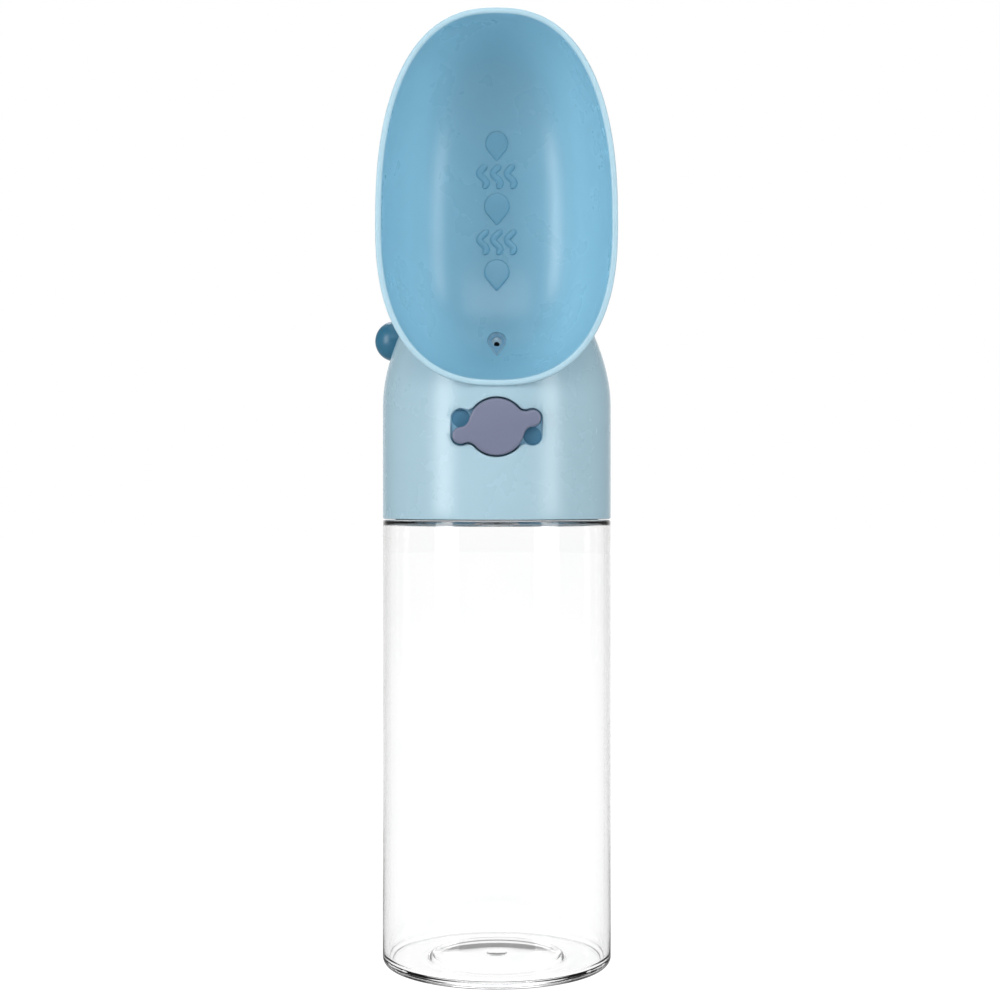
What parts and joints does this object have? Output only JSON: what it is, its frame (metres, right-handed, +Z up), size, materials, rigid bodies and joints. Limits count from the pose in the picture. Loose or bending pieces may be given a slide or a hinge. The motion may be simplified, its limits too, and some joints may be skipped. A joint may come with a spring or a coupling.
{
  "type": "dog travel water bottle",
  "caption": "Clear travel water bottle with a screw-on blue drinking scoop, a side press button valve and a front lock knob.",
  "frame": {"origin": "centre of the bottle's base ring, on the bottle's axis; the middle of the whole part's box lies 1.35 mm from it, because the press button stands out on one side", "axes": "+Z up along the bottle's axis, -Y out of the scoop's open side, -X towards the press button"},
  "size_m": [0.0687, 0.067, 0.2681],
  "materials": {
    "clear_plastic": "clear",
    "head_blue": "satin",
    "inner_blue": "satin",
    "teal": "satin",
    "knob_lilac": "satin",
    "white_plastic": "matte",
    "soft_white": "matte",
    "seal_rubber": "matte",
    "steel": "brushed"
  },
  "bodies": {
    "bottle": {"bottle": "clear_plastic"},
    "washer": {"neck_washer": "soft_white"},
    "head": {"head_shell": "head_blue", "valve_deck": "inner_blue", "deck_screws": "steel", "inlet_strainer": "white_plastic", "vent_valve": "soft_white", "valve_body": "inner_blue", "lock_gasket": "teal", "rotor_cover": "inner_blue", "return_spring": "steel", "spring_cap": "inner_blue"},
    "lock": {"lock_knob": "knob_lilac", "shutoff_rotor": "white_plastic", "rotor_front_ring": "seal_rubber", "rotor_rear_ring": "seal_rubber", "rotor_clip": "steel"},
    "button": {"release_button": "teal", "button_ring": "seal_rubber", "valve_stem": "white_plastic", "stem_ring": "seal_rubber", "poppet_seal": "seal_rubber"}
  },
  "joints": [
    {"name": "head_lift", "type": "slide", "parent": "bottle", "child": "washer", "axis": [0, 0, 1], "range_m": [0, 0.008]},
    {"name": "head_turn", "type": "hinge", "parent": "washer", "child": "head", "pos_m": [0, 0, 0.1286], "axis": [0, 0, 1], "range_deg": [0, 720]},
    {"name": "lock_turn", "type": "hinge", "parent": "head", "child": "lock", "pos_m": [0, -0.033, 0.154], "axis": [0, 1, 0], "range_deg": [0, 27]},
    {"name": "button_press", "type": "slide", "parent": "head", "child": "button", "axis": [1, 0, 0], "range_m": [0, 0.004], "stiffness_N_per_m": 800, "springref_m": -0.003, "deforming": ["return_spring"]}
  ],
  "couplings": [
    {"joint": "head_lift", "follows": "head_turn", "m_per_rad": 0.00063662}
  ]
}
